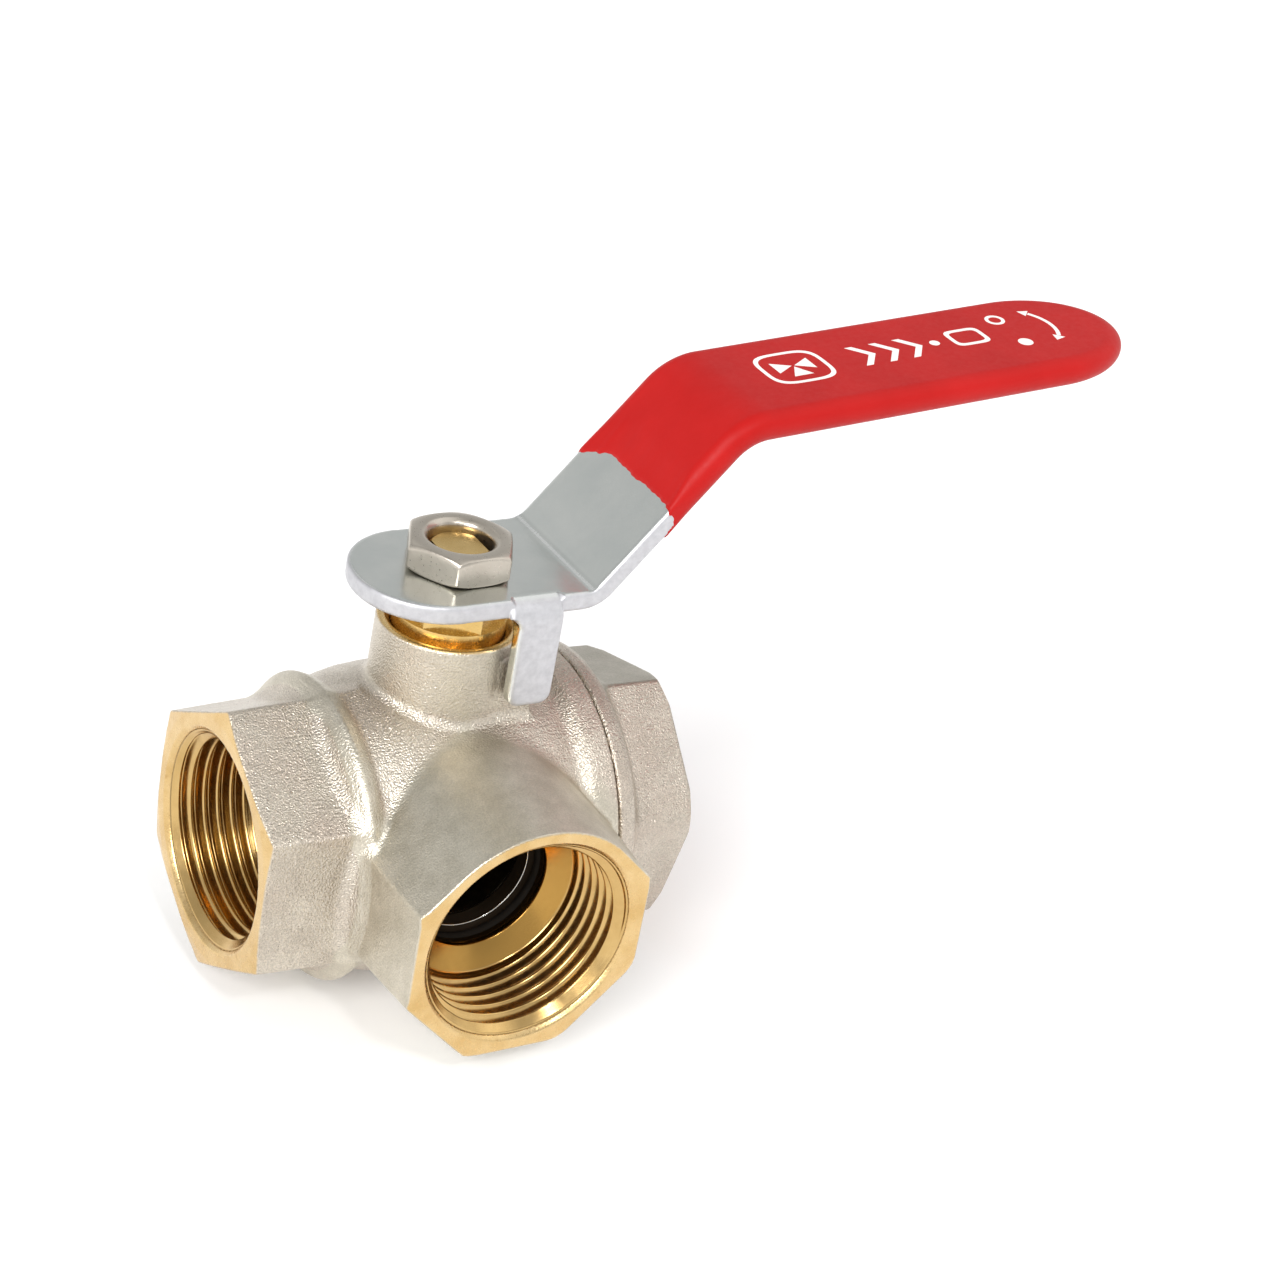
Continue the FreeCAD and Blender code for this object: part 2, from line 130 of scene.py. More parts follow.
def mesh_of(name, f, lo, hi, h):
    """A mesh of the zero surface of f, in metres."""
    lo, hi = np.array(lo, float), np.array(hi, float)
    n = np.ceil((hi - lo) / h).astype(int) + 1
    ax = [(lo[i] + h * np.arange(n[i])).astype(f32) for i in range(3)]
    d = np.empty(tuple(n), f32)
    for i0 in range(0, n[0], 24):
        i1 = min(n[0], i0 + 24)
        d[i0:i1] = f(ax[0][i0:i1, None, None], ax[1][None, :, None], ax[2][None, None, :])
    g = openvdb.FloatGrid(float(4 * h))
    g.copyFromArray(np.clip(d, -4 * h, 4 * h))
    pts, quads = g.convertToQuads(0.0)
    pts = pts * h + lo
    # two small steps onto the exact surface
    e = 0.02
    for _ in range(2):
        x, y, z = (pts[:, i].astype(f32) for i in range(3))
        v = f(x, y, z)
        gr = np.stack([f(x + e, y, z) - f(x - e, y, z), f(x, y + e, z) - f(x, y - e, z),
                       f(x, y, z + e) - f(x, y, z - e)], 1) / (2 * e)
        gg = np.maximum((gr * gr).sum(1), 0.3)
        step = np.clip(v / gg, -0.3 * h, 0.3 * h)
        pts = pts - step[:, None] * gr
    q = quads.astype(np.int64)
    a, b, c = pts[q[:, 0]], pts[q[:, 1]], pts[q[:, 2]]
    nrm = np.cross(b - a, c - a)
    k = len(q) // 2
    cen = pts[q].mean(1)
    nn = nrm / np.maximum(np.linalg.norm(nrm, axis=1), 1e-12)[:, None]
    s = slice(0, len(q), 7)
    w = cen[s] + 0.05 * nn[s]
    w2 = cen[s] - 0.05 * nn[s]
    out = (f(*(w[:, i].astype(f32) for i in range(3))) - f(*(w2[:, i].astype(f32) for i in range(3)))).mean()
    if out < 0:
        q = q[:, ::-1]
    me = bpy.data.meshes.new(name)
    me.vertices.add(len(pts))
    me.vertices.foreach_set("co", (pts * MM).astype(f32).ravel())
    me.loops.add(len(q) * 4)
    me.loops.foreach_set("vertex_index", q.astype(np.int32).ravel())
    me.polygons.add(len(q))
    me.polygons.foreach_set("loop_start", np.arange(0, len(q) * 4, 4, dtype=np.int32))
    me.polygons.foreach_set("use_smooth", np.ones(len(q), bool))
    me.update(calc_edges=True)
    me.validate()
    o = bpy.data.objects.new(name, me)
    bpy.context.scene.collection.objects.link(o)
    return o, pts


def mark(o, name, values):
    a = o.data.attributes.new(name, "FLOAT", "POINT")
    a.data.foreach_set("value", np.asarray(values, f32))


H = 0.2

# ----------------------------------------------------------- forged valve body
X0, Y0, X1 = -28.1, -30.2, 30.0
MOUTH, MINOR, MAJOR, PASS, PITCH = 14.0, 12.06, 13.22, 8.9, 1.814
DEPTH = {"body": 10.75, "branch": 11.3, "cap": 11.3}

drum = lathe_outline([
    (-18.4, 0), (-18.4, 14.6), (-17.4, 16.6), (-16.7, 17.9), (-16.0, 18.75), (-15.5, 19.08), (-15.2, 19.1),
    (-14.9, 19.0), (-14.3, 18.75), (-13.6, 18.3), (-13.2, 18.05), (-12.9, 18.0), (-12.2, 18.15), (-10.6, 18.6),
    (-8.4, 19.05), (-5.4, 19.3), (-2.0, 19.4), (4.0, 19.4), (9.0, 19.2), (11.6, 18.9), (12.6, 18.76), (13.1, 18.82), (13.6, 19.02),
    (14.1, 19.28), (14.6, 19.48), (15.2, 19.57), (16.0, 19.6), (17.35, 19.6), (17.55, 19.5), (17.7, 19.2), (17.7, 0)], 0.0)
hex_table = rounded_prism(6, 31.2, 0.0, 0.7)
# octagon whose two top corners are forged round
_r = 15.4 - 0.8
_o = [(_r / math.cos(math.pi / 8) * math.cos(math.radians(a)), _r / math.cos(math.pi / 8) * math.sin(math.radians(a)))
      for a in (157.5, 202.5, 247.5, 292.5, 337.5, 382.5)]
_o += [(_r * math.cos(math.radians(a)), _r * math.sin(math.radians(a))) for a in range(45, 136, 3)]
oct_table = Outline(_o, (-22, -22), (22, 22), 0.06, False, 0.8)


def forged(x, y, z):
    r = np.sqrt(y * y + z * z)
    d = drum(x, r)
    grow = 1 + 0.0022 * (x - X0)
    h = hex_table(y / grow, z / grow)
    h = np.maximum(h, np.maximum(x + 11.0, -(x - X0) - 2.0))
    d = round_union(d, h, 1.1)
    rad = np.sqrt(x * x + y * y)
    neck = np.maximum(rad - 8.8 - 0.012 * np.maximum(27.5 - z, 0), np.maximum(z - 29.5, 6.0 - z))
    grow = 1 + 0.0042 * (y - Y0)
    o = oct_table(x / grow, z / grow)
    o = np.maximum(o, np.maximum(y + 4.0, -(y - Y0) - 2.0))
    d = round_union(d, o, 0.8)
    lug = np.maximum(np.maximum(np.abs(x - 5.6) - 2.4, np.abs(y + 5.6) - 2.4), np.maximum(z - 25.1, 14.0 - z)) - 0.35
    d = round_union(d, np.minimum(neck, lug), 1.0)
    return d


def bore(s, r, depth, end):
    """Distance into a port's hole; s runs in from the face. The threads themselves are a liner."""
    cone = (r - (MOUTH - s)) * 0.7071
    wide = np.maximum(r - 13.45, s - depth - 0.15)
    floor = (r - (13.45 - (s - depth - 0.15) * 1.9)) * 0.5
    floor = np.maximum(floor, np.maximum(s - depth - 2.4, depth - s))
    hole = np.minimum(np.minimum(wide, np.maximum(cone, s - 2.2)), np.minimum(floor, r - (PASS + 0.12)))
    return np.maximum(hole, s - end)


def machined(d, x, y, z):
    ryz = np.sqrt(y * y + z * z)
    rxz = np.sqrt(x * x + z * z)
    rxy = np.sqrt(x * x + y * y)
    # turned end faces with 30 degree corners
    d = np.maximum(d, X0 - x)
    d = np.maximum(d, (ryz - 15.7) * 0.18 + (X0 - x) * 0.984)
    d = np.maximum(d, Y0 - y)
    d = np.maximum(d, (rxz - 16.05) * 0.5 + (Y0 - y) * 0.866)
    d = np.maximum(d, z - 27.5)
    d = np.maximum(d, np.where(z > 26.5, (rxy - 8.5) * 0.7 + (z - 27.5) * 0.7, -5.0))
    d = np.maximum(d, -bore(x - X0, ryz, DEPTH["body"], 14.5))
    d = np.maximum(d, -bore(y - Y0, rxz, DEPTH["branch"], 15.5))
    # inside: cavity, cap thread, seat pockets, stem bore, packing chamber
    d = np.maximum(d, -np.maximum(ryz - 15.2, -x - 10.4))
    d = np.maximum(d, -np.maximum(ryz - 17.52, 11.8 - x))
    d = np.maximum(d, -np.maximum(ryz - 10.3, np.maximum(-x - 14.6, x)))
    d = np.maximum(d, -np.maximum(rxz - 10.3, np.abs(y) - 15.8))
    d = np.maximum(d, -np.maximum(rxy - 5.02, 8 - z))
    d = np.maximum(d, -np.maximum(rxy - 6.5, np.maximum(8 - z, z - 17.3)))
    d = np.maximum(d, -np.maximum(rxy - 7.0, 20.4 - z))
    d = np.maximum(d, -((rxy - 7.9) * 0.75 - (z - 27.5) * 0.66))
    return d


def body_f(x, y, z):
    return machined(forged(x, y, z), x, y, z)


body, pts = mesh_of("body_casting", body_f, (-28.9, -31.0, -20.4), (18.3, 20.4, 28.2), H)
raw = forged(*(pts[:, i].astype(f32) for i in range(3)))
mark(body, "turned", np.clip((-raw - 0.04) / 0.1, 0, 1))
px, py, pz = pts[:, 0], pts[:, 1], pts[:, 2]
# the body carries no painted shade
mark(body, "painted_shade", 0.0 * px)
pr = np.sqrt(py * py + pz * pz)
boss = np.sqrt(px * px + pz * pz)
satin = np.clip((-py - 13.4 - 0.34 * np.abs(px + 1.0) + 0.25 * (pz + 2.0)) / 1.2, 0, 1) * (boss < 19.5)
collar = np.clip((px + 18.2) / 0.5, 0, 1) * np.clip((-13.5 - px) / 0.5, 0, 1) * (pr > 17.6)
neckish = 0.45 * (np.sqrt(px * px + py * py) < 9.3) * (pz > 19.0)
mark(body, "satin", np.maximum(satin, np.maximum(collar * 0.8, neckish)))
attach(body, "valve"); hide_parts("valve_body")

# ------------------------------------------------------------------- end cap
cap_outline = lathe_outline([
    (17.76, 0), (17.76, 19.2), (17.9, 19.5), (18.1, 19.6), (19.3, 19.5), (20.1, 19.2), (20.9, 18.2), (21.5, 16.6), (22.0, 14.0),
    (22.0, 0)])
caphex_table = rounded_prism(6, 31.0, 75.0, 0.8)


def cap_forged(x, y, z):
    r = np.sqrt(y * y + z * z)
    d = cap_outline(x, r)
    grow = 1 + 0.002 * (X1 - x)
    h = caphex_table(y / grow, z / grow)
    h = np.maximum(h, np.maximum(18.6 - x, x - X1 - 2))
    return round_union(d, h, 0.9)


def cap_f(x, y, z):
    r = np.sqrt(y * y + z * z)
    d = cap_forged(x, y, z)
    d = np.maximum(d, x - X1)
    d = np.maximum(d, (r - 16.4) * 0.5 + (x - X1) * 0.866)
    # screwed nose that carries the seat
    nose = np.maximum(r - 17.45, np.maximum(13.0 - x, x - 18.2))
    nose = np.minimum(nose, np.maximum(r - 14.9, np.maximum(11.9 - x, x - 18.2)))
    d = np.minimum(d, nose)
    d = np.maximum(d, -bore(X1 - x, r, DEPTH["cap"], 16.5))
    return np.maximum(d, -np.maximum(r - 10.3, x - 14.6))


cap, pts = mesh_of("end_cap_casting", cap_f, (11.2, -20.4, -20.4), (30.8, 20.4, 20.4), H)
raw = cap_forged(*(pts[:, i].astype(f32) for i in range(3)))
turned = np.clip((-raw - 0.04) / 0.1, 0, 1)
turned[pts[:, 0] < 17.75] = 1
mark(cap, "turned", turned)
lean = pts[:, 2] * 0.966 + pts[:, 1] * 0.259
# painted shade: the whole cap darkened toward black a little, and its up-facing top face more
mark(cap, "painted_shade", 0.10 + 0.26 * np.clip((lean - 15.3) / 0.25, 0, 1) * np.clip((pts[:, 0] - 19.6) / 1.2, 0, 1))
mark(cap, "satin", np.clip((lean - 15.3) / 0.25, 0, 1) * np.clip((pts[:, 0] - 19.6) / 1.2, 0, 1))
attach(cap, "valve"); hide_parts("end_cap")


# --------------------------------------------------------------- port threads
def thread_liner(name, depth, end, place):
    """The helical pipe thread of a port as a closed ring. place maps (s, a, b) to row millimetres, s inwards."""
    nt = 288
    th = np.linspace(0, 2 * math.pi, nt, endpoint=False)
    s = np.concatenate([[0.56, 0.8, 1.0], np.arange(1.1, depth + 0.001, 0.07)])
    S, T = np.meshgrid(s, th, indexing="ij")
    ph = (S / PITCH - T / (2 * math.pi)) % 1.0
    w = 0.5 - 0.5 * np.cos(2 * math.pi * ph)          # 0 at the crest, 1 at the root
    amp = np.clip((depth - 0.35 - S) / 0.9, 0, 1)
    r = MINOR + (MAJOR - MINOR) * w * amp
    r = np.maximum(r, MOUTH - S + 0.0)
    r[0] = 13.43
    rings = [np.stack([S[i], r[i] * np.cos(T[i]), r[i] * np.sin(T[i])], 1) for i in range(len(s))]
    edge = [(depth, MINOR), (depth + 0.12, MINOR - 0.02), (depth + 0.3, MINOR - 0.3), (depth + 1.5, PASS + 0.12),
            (depth + 1.62, PASS), (end, PASS), (end, PASS + 0.1), (depth + 2.0, PASS + 0.1), (depth + 0.6, 12.6),
            (depth + 0.1, 13.4), (0.6, 13.44)]
    for a, b in edge:
        rings.append(np.stack([np.full(nt, a), b * np.cos(th), b * np.sin(th)], 1))
    co = place(np.concatenate(rings))
    n = len(rings)
    i = np.arange(n)[:, None]
    j = np.arange(nt)[None, :]
    q = np.stack([i * nt + j, ((i + 1) % n) * nt + j, ((i + 1) % n) * nt + (j + 1) % nt, i * nt + (j + 1) % nt],
                 -1).reshape(-1, 4)
    me = bpy.data.meshes.new(name)
    me.from_pydata((co * MM).tolist(), [], q.tolist())
    me.polygons.foreach_set("use_smooth", np.ones(len(q), bool))
    me.update()
    bm_fix(me)
    o = bpy.data.objects.new(name, me)
    bpy.context.scene.collection.objects.link(o)
    # painted shade: the cone and passage deep in the port are marked for a darker brass colour
    mark(o, "deep_painted_shade", np.repeat((np.arange(n) >= len(s) + 2) * 1.0, nt))
    return o


def bm_fix(me):
    import bmesh
    bm = bmesh.new()
    bm.from_mesh(me)
    bmesh.ops.recalc_face_normals(bm, faces=bm.faces)
    bm.to_mesh(me)
    bm.free()


liners = [
    thread_liner("body_port_thread", DEPTH["body"], 13.45, lambda p: np.stack([X0 + p[:, 0], -p[:, 1], p[:, 2]], 1)),
    thread_liner("branch_port_thread", DEPTH["branch"], 14.35, lambda p: np.stack([p[:, 1], Y0 + p[:, 0], p[:, 2]], 1)),
    thread_liner("cap_port_thread", DEPTH["cap"], 15.35, lambda p: np.stack([X1 - p[:, 0], p[:, 1], p[:, 2]], 1)),
]
for o in liners:
    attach(o, "valve")


# bright inner edges of the seats behind the two ports
def bore_rim(name, axis):
    at = 14.36
    R, r, na, nb = 8.02, 0.13, 160, 12
    A, B = np.meshgrid(np.linspace(0, 2 * math.pi, na, endpoint=False), np.linspace(0, 2 * math.pi, nb, endpoint=False),
                       indexing="ij")
    rr, t = R + r * np.cos(B), at - 0.12 + r * np.sin(B)
    co = np.stack([t, rr * np.cos(A), rr * np.sin(A)], -1).reshape(-1, 3)
    if axis == "y":
        co = np.stack([co[:, 1], -co[:, 0], co[:, 2]], 1)
    i, j = np.meshgrid(np.arange(na), np.arange(nb), indexing="ij")
    i2, j2 = (i + 1) % na, (j + 1) % nb
    q = np.stack([i * nb + j, i2 * nb + j, i2 * nb + j2, i * nb + j2], -1).reshape(-1, 4)
    me = bpy.data.meshes.new(name)
    me.from_pydata((co * MM).tolist(), [], q.tolist())
    me.polygons.foreach_set("use_smooth", np.ones(len(q), bool))
    me.update()
    bm_fix(me)
    o = bpy.data.objects.new(name, me)
    bpy.context.scene.collection.objects.link(o)
    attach(o, "valve")
    return o


rims = [bore_rim("seat_edge_branch", "y"), bore_rim("seat_edge_cap", "x")]

# ------------------------------------------------------------ lever and grip
LEVER_TOP, CREASE_X, RAMP_X, RAMP_Z, TIP_X, TIP_Z = 34.7, 13.55, 31.0, 55.35, 92.5, 60.9
HALF_T, BEND_R, FOLD_R = 1.2, 8.0, 4.1


def bent_line():
    """Mid-line of the strip in X and Z, with its two bends, as points."""
    ang = math.atan2(RAMP_Z - LEVER_TOP, RAMP_X - CREASE_X)
    tilt = math.atan2(TIP_Z - RAMP_Z, TIP_X - RAMP_X)
    b = np.array([CREASE_X + HALF_T * math.tan(ang / 2), LEVER_TOP - HALF_T])
    c = np.array([RAMP_X + HALF_T * math.tan((ang - tilt) / 2 + tilt), RAMP_Z - HALF_T])
    pts = [np.array([-40.0, b[1]]), b, c, np.array([TIP_X + 30, c[1] + (TIP_X + 30 - c[0]) * math.tan(tilt)])]
    out = [pts[0]]
    for i, r in ((1, FOLD_R), (2, BEND_R)):
        p0, p1, p2 = pts[i - 1], pts[i], pts[i + 1]
        u = (p0 - p1) / np.linalg.norm(p0 - p1)
        w = (p2 - p1) / np.linalg.norm(p2 - p1)
        half = math.acos(float(u @ w)) / 2
        bis = (u + w) / np.linalg.norm(u + w)
        ce = p1 + bis * r / math.sin(half)
        s0, s1 = p1 + u * r / math.tan(half), p1 + w * r / math.tan(half)
        a0, a1 = math.atan2(*(s0 - ce)[::-1]), math.atan2(*(s1 - ce)[::-1])
        da = (a1 - a0 + math.pi) % (2 * math.pi) - math.pi
        out += [ce + r * np.array([math.cos(a0 + da * k), math.sin(a0 + da * k)]) for k in np.linspace(0, 1, 33)]
    return np.array(out + [pts[3]]), ang, tilt


class Strip:
    """Length along a bent line and distance above it, tabled on a grid."""

    def __init__(self, line, lo, hi, step=0.1):
        self.lo, self.step = lo, step
        u = lo[0] + step * np.arange(int((hi[0] - lo[0]) / step) + 2)
        v = lo[1] + step * np.arange(int((hi[1] - lo[1]) / step) + 2)
        U, W = np.meshgrid(u, v, indexing="ij")
        a = line[:-1]
        e = line[1:] - a
        ln = np.linalg.norm(e, axis=1)
        cum = np.concatenate([[0], np.cumsum(ln)])
        best = np.full(U.shape, 1e9)
        S = np.zeros(U.shape)
        N = np.zeros(U.shape)
        for k in range(len(a)):
            t = ((U - a[k, 0]) * e[k, 0] + (W - a[k, 1]) * e[k, 1]) / ln[k] ** 2
            t = np.clip(t, 0, 1)
            dx, dz = U - a[k, 0] - t * e[k, 0], W - a[k, 1] - t * e[k, 1]
            d = np.hypot(dx, dz)
            m = d < best
            sgn = np.sign(e[k, 0] * (W - a[k, 1]) - e[k, 1] * (U - a[k, 0]))
            best = np.where(m, d, best)
            S = np.where(m, cum[k] + t * ln[k], S)
            N = np.where(m, sgn * d, N)
        self.s, self.n = S.astype(f32), N.astype(f32)
        self.cum, self.line = cum, line

    def at(self, u):
        return float(np.interp(u, self.line[:, 0], self.cum))

    def __call__(self, u, v):
        u, v = np.broadcast_arrays(u, v)
        n0, n1 = self.s.shape
        a = np.clip((u - self.lo[0]) / self.step, 0, n0 - 1.001)
        b = np.clip((v - self.lo[1]) / self.step, 0, n1 - 1.001)
        i, j = a.astype(np.int32), b.astype(np.int32)
        fa, fb = (a - i).astype(f32), (b - j).astype(f32)
        w00, w10, w01, w11 = (1 - fa) * (1 - fb), fa * (1 - fb), (1 - fa) * fb, fa * fb
        return tuple(t[i, j] * w00 + t[i + 1, j] * w10 + t[i, j + 1] * w01 + t[i + 1, j + 1] * w11
                     for t in (self.s, self.n))


LINE, RAMP_ANG, GRIP_TILT = bent_line()
lever_strip = Strip(LINE, (-16.0, 28.0), (98.0, 66.0))
S_TIP = lever_strip.at(TIP_X)
# the dip line crosses the ramp 13.4 mm above the crease
S_DIP = float(lever_strip(np.array([CREASE_X + 13.4 * math.cos(RAMP_ANG)]),
                          np.array([LEVER_TOP + 13.4 * math.sin(RAMP_ANG)]))[0][0])
GRIP_H, GRIP_W, GRIP_END = 1.97, 10.1, 13.4
_tb = np.array([(0.0, 33.5), (8.0, 33.5)] + [(8.0 + 1.8 * math.sin(k), 31.7 + 1.8 * math.cos(k))
               for k in np.linspace(0.1, math.pi / 2, 9)] + [(9.8, 10.0)])
tab_strip = Strip(_tb, (3.0, 17.0), (15.0, 38.0), 0.08)
TAB_END = tab_strip.cum[-1] - (20.9 - 10.0) + 0.5


def smooth(t):
    t = np.clip(t, 0, 1)
    return t * t * (3 - 2 * t)


def lever_f(x, y, z):
    s, n = lever_strip(x, z)
    ay = np.abs(y)
    w = 10.0 - 0.75 * smooth((s - S_DIP + 0.6) / 1.5)
    plan = np.where(x < -3.5, np.hypot(np.minimum(x + 3.5, 0), y) - 10.0, (ay - w) * 0.8)
    plan = np.maximum(plan, np.where(s > S_TIP - 12.2, np.hypot((s - S_TIP + 12.2) * 9.25 / 12.2, y) - 9.25, -9.0))
    d = round_cut(plan, np.abs(n) - HALF_T, 0.5)
    ts, tn = tab_strip(ay, z)
    # the tab's own outline, with a small fillet where it leaves the strip
    k = np.clip(11.5 - ts, 0, 1.3)
    fil = 1.3 - np.sqrt(1.69 - k * k)
    px, ps = np.maximum(x - 9.35, 3.45 - fil - x) + 1.6, ts - TAB_END + 1.6
    tab = np.minimum(np.maximum(px, ps), 0) + np.hypot(np.maximum(px, 0), np.maximum(ps, 0)) - 1.6
    tab = round_cut(tab, tn - HALF_T, 0.6)
    tab = round_cut(tab, 0.55 * smooth((31.5 - z) / 2.0) - tn - HALF_T, 0.4)
    tab = np.maximum(tab, 7.4 - ay)
    # the strip runs out into the bend of the tab
    away = np.maximum(np.maximum(2.9 - x, x - 9.0), 0)
    d = np.where((ay > 7.5) & (x > 0) & (x < 12.5), np.maximum(d, (tn - HALF_T - 0.75 * away) * 0.75), d)
    # the crease is a sharp inside corner
    up = -math.sin(RAMP_ANG) * (x - CREASE_X) + math.cos(RAMP_ANG) * (z - LEVER_TOP)
    d = np.maximum(d, round_union(z - LEVER_TOP, up, 0.5))
    d = np.where(ay < 7.9, d, np.minimum(d, tab))
    rxy = np.sqrt(x * x + y * y)
    return np.maximum(d, -np.where(z > 31, np.maximum(rxy - 4.0, np.abs(x) - 2.95), 5.0))


lever, pts = mesh_of("lever_steel", lever_f, (-14.2, -11.8, 19.8), (93.2, 11.8, 61.8), 0.22)
vn = np.empty(len(pts) * 3, f32)
lever.data.vertex_normals.foreach_get("vector", vn)
vn = vn.reshape(-1, 3)
on_ramp = pts[:, 0] > CREASE_X
up = vn[:, 2] * np.where(on_ramp, math.cos(RAMP_ANG), 1.0) - vn[:, 0] * np.where(on_ramp, math.sin(RAMP_ANG), 0.0)
side = smooth((-vn[:, 0] - 0.5) / 0.3) * (pts[:, 2] < 32) * (np.abs(pts[:, 1]) > 7.4)
mark(lever, "edge", smooth((np.sqrt(np.clip(1 - up * up, 0, 1)) - 0.25) / 0.4) * (1 - side))
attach(lever, "lever"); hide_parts("lever_plate")


def grip_f(x, y, z):
    s, n = lever_strip(x, z)
    q = np.maximum(s - (S_TIP + 0.8 - GRIP_END), 0) * (GRIP_W / GRIP_END)
    # the dip line: ragged, and slanting back under the strip
    dip = S_DIP - 2.3 * smooth((y - 5.2) / 5.0) - 0.5 * smooth((-y - 8.0) / 2.2) + 1.05 * (n - 1.2)
    dip = dip + 0.07 * np.sin(1.7 * y + 0.6) + 0.035 * np.sin(5.3 * y + 1.0) + 0.09 * np.sin(0.8 * y - 1.0)
    dip = dip - 0.28 * np.exp(-((y - 6.6) / 0.5) ** 2) + 0.22 * np.exp(-((y + 8.6) / 0.45) ** 2)
    dip = dip + 0.12 * np.sin(6.0 * n + 2.5 * y) * (np.abs(y) > 8.8)
    run = smooth((s - dip) / 5.0)
    plan = np.hypot(q, y) - (GRIP_W - 0.12 * (1 - run))
    h = 1.42 + (GRIP_H - 1.42) * run
    rt = 0.5 + 1.45 * run
    d = np.maximum(round_cut(plan, n - h, rt), round_cut(plan, -n - h, rt))
    return round_cut(d, (dip - s) * 0.7, 0.22)


grip, _ = mesh_of("grip_dipped", grip_f, (19.0, -11.0, 39.0), (94.2, 11.0, 62.6), 0.26)
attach(grip, "lever"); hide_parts("grip_sleeve")

# ------------------------------------------------------ white marks on the grip
TOP_A = np.array([math.cos(GRIP_TILT), math.sin(GRIP_TILT)])
TOP_N = np.array([-math.sin(GRIP_TILT), math.cos(GRIP_TILT)])
TOP_O = np.array([TIP_X - 30.0, 0.0])
TOP_O[1] = np.interp(TOP_O[0], LINE[:, 0], LINE[:, 1])


def print_pieces(name, shapes):
    """Thin closed plates on the grip's top. A shape is an outer loop, or a pair of loops for a band, in X and Y."""
    verts, faces = [], []
    for shape in shapes:
        loops = shape if isinstance(shape, tuple) else (shape,)
        n, base = len(loops[0]), len(verts)
        for lp in loops:
            for h in (GRIP_H - 0.08, GRIP_H + 0.016):
                for u, v in lp:
                    t = (u - TOP_O[0]) / TOP_A[0]
                    p = TOP_O + t * TOP_A + h * TOP_N
                    verts.append((p[0] * MM, v * MM, p[1] * MM))
        for i in range(n):
            j = (i + 1) % n
            faces.append((base + i, base + j, base + n + j, base + n + i))
            if len(loops) == 2:
                k = base + 2 * n
                faces.append((k + i, k + n + i, k + n + j, k + j))
                faces.append((base + n + i, base + n + j, k + n + j, k + n + i))
                faces.append((base + i, k + i, k + j, base + j))
        if len(loops) == 1:
            faces.append(tuple(base + n + i for i in range(n)))
            faces.append(tuple(base + i for i in reversed(range(n))))
    me = bpy.data.meshes.new(name)
    me.from_pydata(verts, [], faces)
    me.update()
    bm_fix(me)
    o = bpy.data.objects.new(name, me)
    bpy.context.scene.collection.objects.link(o)
    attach(o, "lever")
    return o


def circle(cx, cy, r, n=48):
    return [(cx + r * math.cos(2 * math.pi * i / n), cy + r * math.sin(2 * math.pi * i / n)) for i in range(n)]


def squircle(cx, cy, a, b, n=96, k=0.42):
    return [(cx + a * math.copysign(abs(math.cos(t)) ** k, math.cos(t)), cy + b * math.copysign(abs(math.sin(t)) ** k, math.sin(t)))
            for t in (2 * math.pi * i / n for i in range(n))]


def arc_band(cx, cy, r, w, a0, a1, n=24):
    a = [math.radians(a0 + (a1 - a0) * i / n) for i in range(n + 1)]
    return ([(cx + (r + w / 2) * math.cos(t), cy + (r + w / 2) * math.sin(t)) for t in a]
            + [(cx + (r - w / 2) * math.cos(t), cy + (r - w / 2) * math.sin(t)) for t in reversed(a)])


def head(cx, cy, ang, size):
    c, d = math.cos(math.radians(ang)), math.sin(math.radians(ang))
    return [(cx + c * size, cy + d * size), (cx - d * size * 0.62, cy + c * size * 0.62),
            (cx + d * size * 0.62, cy - c * size * 0.62)]


MX, MY = 44.2, 0.7
valve_sign = [
    (squircle(MX, MY, 4.7, 4.1, k=0.55), squircle(MX, MY, 4.15, 3.55, k=0.55)),
    [(MX - 0.2, MY + 0.4), (MX - 2.7, MY + 1.8), (MX - 2.7, MY - 1.0)],
    [(MX + 0.2, MY + 0.4), (MX + 2.7, MY - 1.0), (MX + 2.7, MY + 1.8)],
    [(MX, MY + 0.1), (MX - 1.4, MY - 2.3), (MX + 1.4, MY - 2.3)],
]
row = []
for i in range(3):
    cx = 53.2 + 3.6 * i
    row += [[(cx, 3.2), (cx + 2.0, 0.6), (cx, -2.0), (cx + 1.05, -2.0), (cx + 3.05, 0.6), (cx + 1.05, 3.2)]]
row += [circle(65.4, 0.7, 0.7, 24)]
row += [(squircle(70.6, 0.9, 2.7, 2.2), squircle(70.6, 0.9, 2.1, 1.6))]
turn_sign = [
    arc_band(77.6, 0.7, 6.1, 0.55, -34, 34),
    head(77.6 + 6.1 * math.cos(math.radians(35)), 0.7 + 6.1 * math.sin(math.radians(35)), 135, 1.35),
    head(77.6 + 6.1 * math.cos(math.radians(35)), 0.7 - 6.1 * math.sin(math.radians(35)), -135, 1.35),
    (circle(77.2, 3.9, 1.35), circle(77.2, 3.9, 0.85)),
    circle(77.2, -2.9, 1.0),
]
marks = [print_pieces("mark_valve_sign", valve_sign), print_pieces("mark_row", row), print_pieces("mark_turn_sign", turn_sign)]

nuthex_table = rounded_prism(6, 12.4, 2.0 - 90.0, 0.35)


def nut_f(x, y, z):
    r = np.sqrt(x * x + y * y)
    d = nuthex_table(x, y)
    d = round_cut(d, np.maximum(z - 38.6, 34.75 - z), 0.25)
    d = round_cut(d, (r - 6.1) * 0.5 + (z - 38.6) * 0.866, 0.35)
    d = round_cut(d, (r - 6.2) * 0.5 + (34.75 - z) * 0.866, 0.2)
    d = round_cut(d, 4.02 - r, 0.1)
    return round_cut(d, (4.62 - r) * 0.707 + (z - 38.6) * 0.707, 0.2)


nut, _ = mesh_of("lever_lock_nut", nut_f, (-8, -8, 34.2), (8, 8, 39.1), 0.16)
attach(nut, "lever"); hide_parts("lever_nut")


